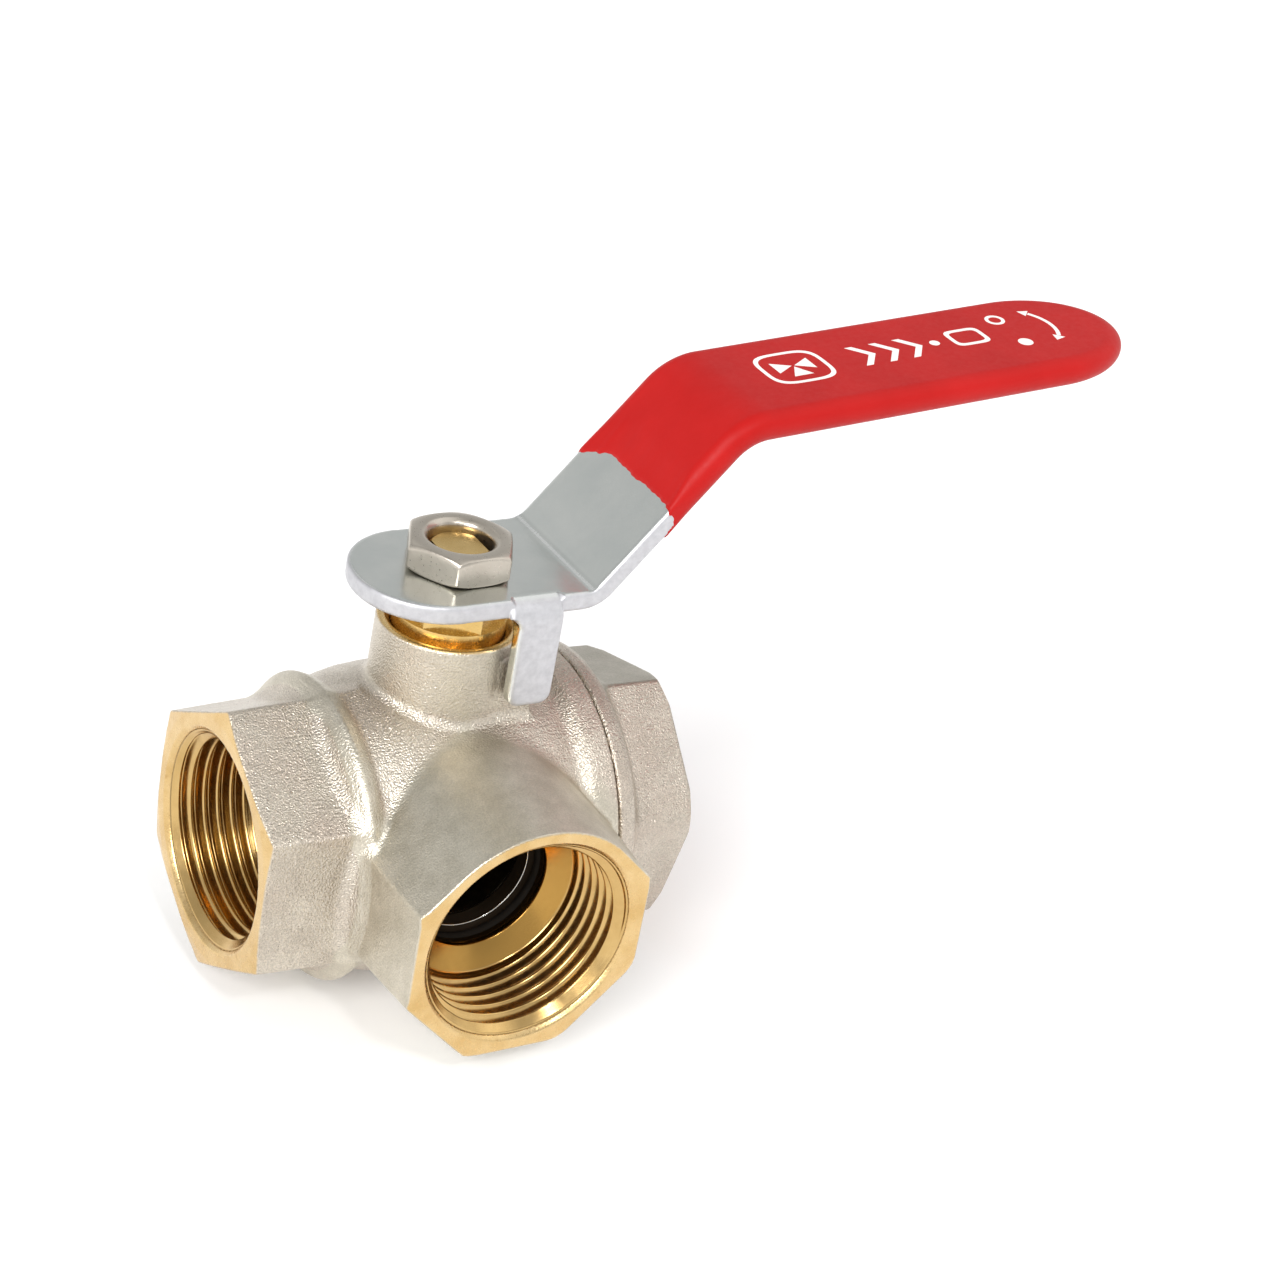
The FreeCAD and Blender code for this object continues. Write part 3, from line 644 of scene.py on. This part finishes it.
# ------------------------------------------------------------------ materials
def new_material(name):
    m = bpy.data.materials.new(name)
    m.use_nodes = True
    nt = m.node_tree
    nt.nodes.clear()
    out = nt.nodes.new("ShaderNodeOutputMaterial")
    b = nt.nodes.new("ShaderNodeBsdfPrincipled")
    nt.links.new(b.outputs[0], out.inputs[0])
    return m, nt, b


class Nodes:
    def __init__(self, nt):
        self.nt = nt
        self.tc = nt.nodes.new("ShaderNodeTexCoord")

    def link(self, a, b):
        self.nt.links.new(a, b)

    def noise(self, scale, detail=2.0, rough=0.5, vec=None, dims="3D"):
        n = self.nt.nodes.new("ShaderNodeTexNoise")
        n.inputs["Scale"].default_value = scale
        n.inputs["Detail"].default_value = detail
        n.inputs["Roughness"].default_value = rough
        self.link(vec or self.tc.outputs["Object"], n.inputs["Vector"])
        return n.outputs["Fac"]

    def voronoi(self, scale, feature="F1", vec=None, out="Distance"):
        n = self.nt.nodes.new("ShaderNodeTexVoronoi")
        n.feature = feature
        n.inputs["Scale"].default_value = scale
        self.link(vec or self.tc.outputs["Object"], n.inputs["Vector"])
        return n.outputs[out]

    def scaled(self, v):
        n = self.nt.nodes.new("ShaderNodeMapping")
        n.inputs["Scale"].default_value = v
        self.link(self.tc.outputs["Object"], n.inputs["Vector"])
        return n.outputs[0]

    def ramp(self, fac, stops):
        n = self.nt.nodes.new("ShaderNodeValToRGB")
        cr = n.color_ramp
        while len(cr.elements) < len(stops):
            cr.elements.new(0.5)
        for e, (p, c) in zip(cr.elements, stops):
            e.position = p
            e.color = (*c, 1) if len(c) == 3 else c
        self.link(fac, n.inputs[0])
        return n.outputs[0]

    def span(self, fac, a, b, lo, hi):
        n = self.nt.nodes.new("ShaderNodeMapRange")
        n.inputs["From Min"].default_value = a
        n.inputs["From Max"].default_value = b
        n.inputs["To Min"].default_value = lo
        n.inputs["To Max"].default_value = hi
        self.link(fac, n.inputs["Value"])
        return n.outputs[0]

    def math(self, op, a, b=None):
        n = self.nt.nodes.new("ShaderNodeMath")
        n.operation = op
        for i, v in enumerate((a, b)):
            if v is None:
                continue
            if isinstance(v, (int, float)):
                n.inputs[i].default_value = v
            else:
                self.link(v, n.inputs[i])
        return n.outputs[0]

    def mix(self, fac, a, b, kind="RGBA", blend="MIX"):
        n = self.nt.nodes.new("ShaderNodeMix")
        n.data_type = kind
        if kind == "RGBA":
            n.blend_type = blend
            ia, ib, io = 6, 7, 2
        else:
            ia, ib, io = 2, 3, 0
        for i, v in ((0, fac), (ia, a), (ib, b)):
            if isinstance(v, (int, float)):
                n.inputs[i].default_value = v
            elif isinstance(v, tuple):
                n.inputs[i].default_value = (*v, 1)
            else:
                self.link(v, n.inputs[i])
        return n.outputs[io]

    def bump(self, height, strength, dist, normal=None):
        n = self.nt.nodes.new("ShaderNodeBump")
        n.inputs["Distance"].default_value = dist
        if isinstance(strength, (int, float)):
            n.inputs["Strength"].default_value = strength
        else:
            self.link(strength, n.inputs["Strength"])
        self.link(height, n.inputs["Height"])
        if normal is not None:
            self.link(normal, n.inputs["Normal"])
        return n.outputs[0]

    def attr(self, name):
        n = self.nt.nodes.new("ShaderNodeAttribute")
        n.attribute_name = name
        return n.outputs["Fac"]


NICKEL_A, NICKEL_B = (0.575, 0.51, 0.43), (0.675, 0.61, 0.52)
BRASS_A, BRASS_B = (0.65, 0.435, 0.18), (0.77, 0.56, 0.28)


def brass_parts(n):
    tone = n.mix(n.span(n.noise(260, 3, 0.6), 0.3, 0.7, 0, 1), BRASS_A, BRASS_B)
    stain = n.span(n.noise(700, 3, 0.6), 0.68, 0.78, 0, 0.35)
    colour = n.mix(stain, tone, (0.40, 0.22, 0.07))
    rough = n.span(n.noise(1500, 3, 0.6), 0.3, 0.75, 0.22, 0.36)
    return colour, rough


def forging_material(name):
    m, nt, b = new_material(name)
    n = Nodes(nt)
    turned = n.attr("turned")
    # satin nickel over a shot-blasted forging: fine dents with single bright grains
    colour = n.mix(n.span(n.noise(230, 3, 0.6), 0.35, 0.68, 0, 1), NICKEL_A, NICKEL_B)
    warm = n.span(n.noise(75, 2, 0.5), 0.50, 0.72, 0, 0.45)
    colour = n.mix(warm, colour, (0.62, 0.50, 0.42))
    satin = n.attr("satin")
    dull = n.mix(n.span(n.noise(340, 3, 0.65), 0.35, 0.65, 0, 1), (0.57, 0.53, 0.43), (0.69, 0.645, 0.54))
    colour = n.mix(n.math("MULTIPLY", satin, 0.85), colour, dull)
    low = n.mix(satin, 0.76, 0.86, "FLOAT")
    high = n.mix(satin, 1.20, 1.10, "FLOAT")
    f = n.span(n.noise(4600, 2, 0.75), 0.32, 0.68, 0, 1)
    speck = n.mix(f, low, high, "FLOAT")
    colour = n.mix(1.0, colour, speck, "RGBA", "MULTIPLY")
    # painted shade: colour pulled toward black where the cap is marked with painted shade
    colour = n.mix(n.attr("painted_shade"), colour, (0.0, 0.0, 0.0))
    pits = n.span(n.noise(520, 1, 0.4), 0.80, 0.815, 0, 0.5)
    colour = n.mix(pits, colour, (0.20, 0.16, 0.12))
    grain = n.voronoi(4600, "SMOOTH_F1")
    hgt = n.math("ADD", n.math("MULTIPLY", grain, 1.0), n.math("MULTIPLY", n.noise(4200, 2, 0.6), 0.9))
    rough = n.mix(satin, n.span(n.noise(1500, 3, 0.6), 0.3, 0.7, 0.25, 0.37), 0.38, "FLOAT")
    bc, br = brass_parts(n)
    nt.links.new(n.mix(turned, colour, bc), b.inputs["Base Color"])
    nt.links.new(n.mix(turned, rough, br, "FLOAT"), b.inputs["Roughness"])
    strength = n.mix(turned, n.mix(satin, 1.0, 0.5, "FLOAT"), 0.10, "FLOAT")
    nt.links.new(n.bump(hgt, strength, 0.00012), b.inputs["Normal"])
    b.inputs["Metallic"].default_value = 1.0
    return m


def thread_material(name):
    m, nt, b = new_material(name)
    n = Nodes(nt)
    tone = n.mix(n.span(n.noise(330, 3, 0.6), 0.3, 0.7, 0, 1), (0.56, 0.365, 0.14), (0.64, 0.435, 0.18))
    # painted shade: darker, more orange brass on the cone and passage deep in the port
    nt.links.new(n.mix(n.attr("deep_painted_shade"), tone, (0.45, 0.255, 0.065)), b.inputs["Base Color"])
    nt.links.new(n.span(n.noise(1200, 3, 0.6), 0.3, 0.7, 0.18, 0.25), b.inputs["Roughness"])
    nt.links.new(n.bump(n.noise(2600, 2, 0.5), 0.03, 0.00004), b.inputs["Normal"])
    b.inputs["Metallic"].default_value = 1.0
    return m


def ball_material(name):
    # chromed outside; rougher inside the bores, where the colour is painted near black as painted shade
    m, nt, b = new_material(name)
    n = Nodes(nt)
    ln = nt.nodes.new("ShaderNodeVectorMath")
    ln.operation = "LENGTH"
    nt.links.new(n.tc.outputs["Object"], ln.inputs[0])
    out = n.span(ln.outputs["Value"], 0.01435, 0.01447, 0, 1)
    blotch = n.span(n.noise(500, 3, 0.6), 0.35, 0.65, 0, 1)
    # painted shade: near-black colour inside the bores, with a little random blotching
    inside = n.mix(blotch, (0.055, 0.042, 0.026), (0.10, 0.085, 0.06))
    nt.links.new(n.mix(out, inside, (0.50, 0.49, 0.47)), b.inputs["Base Color"])
    nt.links.new(n.mix(out, 0.42, n.span(n.noise(900, 2), 0.3, 0.7, 0.05, 0.10), "FLOAT"), b.inputs["Roughness"])
    nt.links.new(n.bump(n.noise(1500, 2), 0.05, 0.00003), b.inputs["Normal"])
    b.inputs["Metallic"].default_value = 1.0
    return m


def metal(name, a, c, rough, scale=(1, 1, 1), grain=0.1, dist=0.00003, fine=2500):
    m, nt, b = new_material(name)
    n = Nodes(nt)
    v = n.scaled(scale)
    f = n.noise(fine, 3, 0.6, v)
    big = n.noise(140, 3, 0.6)
    nt.links.new(n.mix(n.span(big, 0.35, 0.65, 0, 1), a, c), b.inputs["Base Color"])
    nt.links.new(n.span(f, 0.3, 0.7, rough[0], rough[1]), b.inputs["Roughness"])
    nt.links.new(n.bump(f, grain, dist), b.inputs["Normal"])
    b.inputs["Metallic"].default_value = 1.0
    return m


def steel_material(name):
    # satin zinc plate, chalky on the sheared edges and on the tab
    m, nt, b = new_material(name)
    n = Nodes(nt)
    f = n.noise(2500, 3, 0.6, n.scaled((0.5, 1.6, 1)))
    edge = n.attr("edge")
    face = n.mix(n.span(n.noise(140, 3, 0.6), 0.35, 0.65, 0, 1), (0.655, 0.68, 0.66), (0.71, 0.725, 0.70))
    rim = n.mix(n.span(n.noise(900, 3, 0.6), 0.35, 0.65, 0, 1), (0.57, 0.565, 0.585), (0.655, 0.65, 0.67))
    nt.links.new(n.mix(edge, face, rim), b.inputs["Base Color"])
    nt.links.new(n.mix(edge, n.span(f, 0.3, 0.7, 0.18, 0.27), n.span(f, 0.3, 0.7, 0.46, 0.58), "FLOAT"),
                 b.inputs["Roughness"])
    nt.links.new(n.bump(f, 0.16, 0.00003), b.inputs["Normal"])
    b.inputs["Metallic"].default_value = 1.0
    return m


def plastic(name, a, c, rough, coat=0.0, bump=0.1, dist=0.00005, fine=1200, spec=0.5):
    m, nt, b = new_material(name)
    n = Nodes(nt)
    f = n.noise(fine, 3, 0.6)
    big = n.noise(120, 3, 0.6)
    nt.links.new(n.mix(n.span(big, 0.35, 0.65, 0, 1), a, c), b.inputs["Base Color"])
    nt.links.new(n.span(f, 0.3, 0.7, rough[0], rough[1]), b.inputs["Roughness"])
    nt.links.new(n.bump(f, bump, dist), b.inputs["Normal"])
    b.inputs["Coat Weight"].default_value = coat
    b.inputs["Coat Roughness"].default_value = 0.12
    b.inputs["Specular IOR Level"].default_value = spec
    return m


MAT = {
    "forging": forging_material("nickel_plated_forging"),
    "thread": thread_material("turned_brass_thread"),
    "brass": metal("turned_brass", (0.66, 0.44, 0.15), (0.80, 0.57, 0.24), (0.16, 0.30), (1, 1, 3), 0.12),
    "steel": steel_material("bright_plated_steel"),
    "nut": metal("nickel_plated_nut", (0.50, 0.45, 0.385), (0.57, 0.52, 0.45), (0.26, 0.36), (1, 1, 1), 0.10),
    "chrome": ball_material("chromed_ball"),
    "rim": metal("polished_rim", (0.62, 0.61, 0.58), (0.70, 0.69, 0.66), (0.10, 0.18), (1, 1, 1), 0.03),
    "grip": plastic("dipped_pvc_red", (0.425, 0.005, 0.004), (0.465, 0.007, 0.006), (0.42, 0.52), 0.0, 0.15, 0.00005, 1300, 0.20),
    "ptfe": plastic("white_ptfe", (0.80, 0.80, 0.77), (0.88, 0.88, 0.85), (0.35, 0.5)),
    "seat": plastic("filled_ptfe_dark", (0.022, 0.015, 0.009), (0.04, 0.028, 0.018), (0.6, 0.8), spec=0.06),
    "rubber": plastic("nitrile_rubber", (0.014, 0.012, 0.010), (0.024, 0.02, 0.016), (0.65, 0.85), spec=0.05),
    "print": plastic("white_pad_print", (0.86, 0.84, 0.80), (0.92, 0.90, 0.87), (0.45, 0.6)),
}


def paint(o, mat):
    o.data.materials.clear()
    o.data.materials.append(mat)


paint(body, MAT["forging"])
paint(cap, MAT["forging"])
paint(lever, MAT["steel"])
for o in rims:
    paint(o, MAT["rim"])
paint(grip, MAT["grip"])
for o in marks:
    paint(o, MAT["print"])
paint(nut, MAT["nut"])
for o in liners:
    paint(o, MAT["thread"])
NODE_MAT = {
    "cap_seal": "ptfe", "ball": "chrome", "seat_body_side": "seat", "seat_cap_side": "seat", "seat_branch": "seat",
    "seat_rear": "seat", "energiser_branch": "rubber", "energiser_rear": "rubber", "stem": "brass",
    "stem_o_ring": "rubber", "thrust_washer": "ptfe", "packing_lower": "ptfe", "packing_upper": "ptfe",
    "gland_ring": "brass", "gland_nut": "brass", "lever_plate": "steel", "grip_sleeve": "grip", "lever_nut": "nut",
    "valve_body": "forging", "end_cap": "forging",
}
for node, mat in NODE_MAT.items():
    paint(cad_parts[node], MAT[mat])

# ----------------------------------------------------------------------- floor
me = bpy.data.meshes.new("floor")
s = 6.0
zf = CAD_LO.z - 0.0002
me.from_pydata([(-s, -s, zf), (s, -s, zf), (s, s, zf), (-s, s, zf)], [], [(0, 1, 2, 3)])
floor = bpy.data.objects.new("floor", me)
bpy.context.scene.collection.objects.link(floor)
m, nt, b = new_material("pale_floor")
n = Nodes(nt)
nt.links.new(n.mix(n.noise(3, 2), (0.93, 0.93, 0.93), (0.95, 0.95, 0.95)), b.inputs["Base Color"])
b.inputs["Roughness"].default_value = 0.9
b.inputs["Specular IOR Level"].default_value = 0.1
b.inputs["Emission Color"].default_value = (1, 1, 1, 1)
b.inputs["Emission Strength"].default_value = 0.10
paint(floor, m)

# ---------------------------------------------------------------------- camera
AZ, EL, ROLL = (math.radians(v) for v in (-35.69, 28.05, 11.25))
DIST, TX, TY, FOCAL = 358.27, -27.80, -20.97, 2864.71
back = Vector((math.sin(AZ) * math.cos(EL), -math.cos(AZ) * math.cos(EL), math.sin(EL)))
fwd = -back
right = fwd.cross(Vector((0, 0, 1))).normalized()
up = right.cross(fwd)
r2 = math.cos(ROLL) * right + math.sin(ROLL) * up
u2 = -math.sin(ROLL) * right + math.cos(ROLL) * up
pos = (-TX) * r2 + (-TY) * u2 + (-DIST) * fwd
cam_data = bpy.data.cameras.new("camera")
cam_data.sensor_width = 36.0
cam_data.lens = FOCAL * 36.0 / 1280.0
cam_data.clip_start, cam_data.clip_end = 0.01, 50
cam = bpy.data.objects.new("camera", cam_data)
bpy.context.scene.collection.objects.link(cam)
cam.matrix_world = Matrix(((r2.x, u2.x, back.x, pos.x * MM), (r2.y, u2.y, back.y, pos.y * MM),
                           (r2.z, u2.z, back.z, pos.z * MM), (0, 0, 0, 1)))
bpy.context.scene.camera = cam


# ---------------------------------------------------------------------- lights
def area(name, loc, target, size, power, size_y=None, colour=(1, 1, 1)):
    d = bpy.data.lights.new(name, "AREA")
    d.shape = "RECTANGLE"
    d.size, d.size_y = size, size_y or size
    d.energy = power
    d.color = colour
    o = bpy.data.objects.new(name, d)
    bpy.context.scene.collection.objects.link(o)
    o.location = loc
    o.rotation_euler = (Vector(target) - Vector(loc)).to_track_quat("-Z", "Y").to_euler()
    return o


def sun(name, frm, power, angle, colour=(1, 1, 1)):
    d = bpy.data.lights.new(name, "SUN")
    d.energy, d.angle, d.color = power, math.radians(angle), colour
    o = bpy.data.objects.new(name, d)
    bpy.context.scene.collection.objects.link(o)
    o.location = Vector(frm)
    o.rotation_euler = (-Vector(frm)).to_track_quat("-Z", "Y").to_euler()
    return o


sun("key", (-0.8, -0.55, 0.62), 2.15, 30)
sun("side", (0.80, -0.55, 0.30), 0.18, 50)
sun("top", (0.58, -0.12, 0.80), 0.55, 60)
sun("spot", (-0.13, -0.66, 0.73), 0.55, 7)
sun("rear", (-0.02, 0.72, 0.68), 0.018, 14)
w = bpy.data.worlds.new("world")
bpy.context.scene.world = w
w.use_nodes = True
nt = w.node_tree
nt.nodes.clear()
out = nt.nodes.new("ShaderNodeOutputWorld")
bg = nt.nodes.new("ShaderNodeBackground")
tc = nt.nodes.new("ShaderNodeTexCoord")
sep = nt.nodes.new("ShaderNodeSeparateXYZ")
rmp = nt.nodes.new("ShaderNodeValToRGB")
nt.links.new(tc.outputs["Generated"], sep.inputs[0])
nt.links.new(sep.outputs["Z"], rmp.inputs[0])
cr = rmp.color_ramp
cr.elements[0].position, cr.elements[0].color = 0.0, (0.85, 0.85, 0.85, 1)
cr.elements[1].position, cr.elements[1].color = 1.0, (0.42, 0.42, 0.42, 1)
for p, c in ((0.25, 0.80), (0.5, 0.54), (0.75, 0.62)):
    e = cr.elements.new(p)
    e.color = (c, c * 1.01, c * 1.01, 1)
nt.links.new(rmp.outputs[0], bg.inputs[0])
bg.inputs[1].default_value = 1.0
nt.links.new(bg.outputs[0], out.inputs[0])
bpy.context.scene.view_settings.view_transform = "Standard"
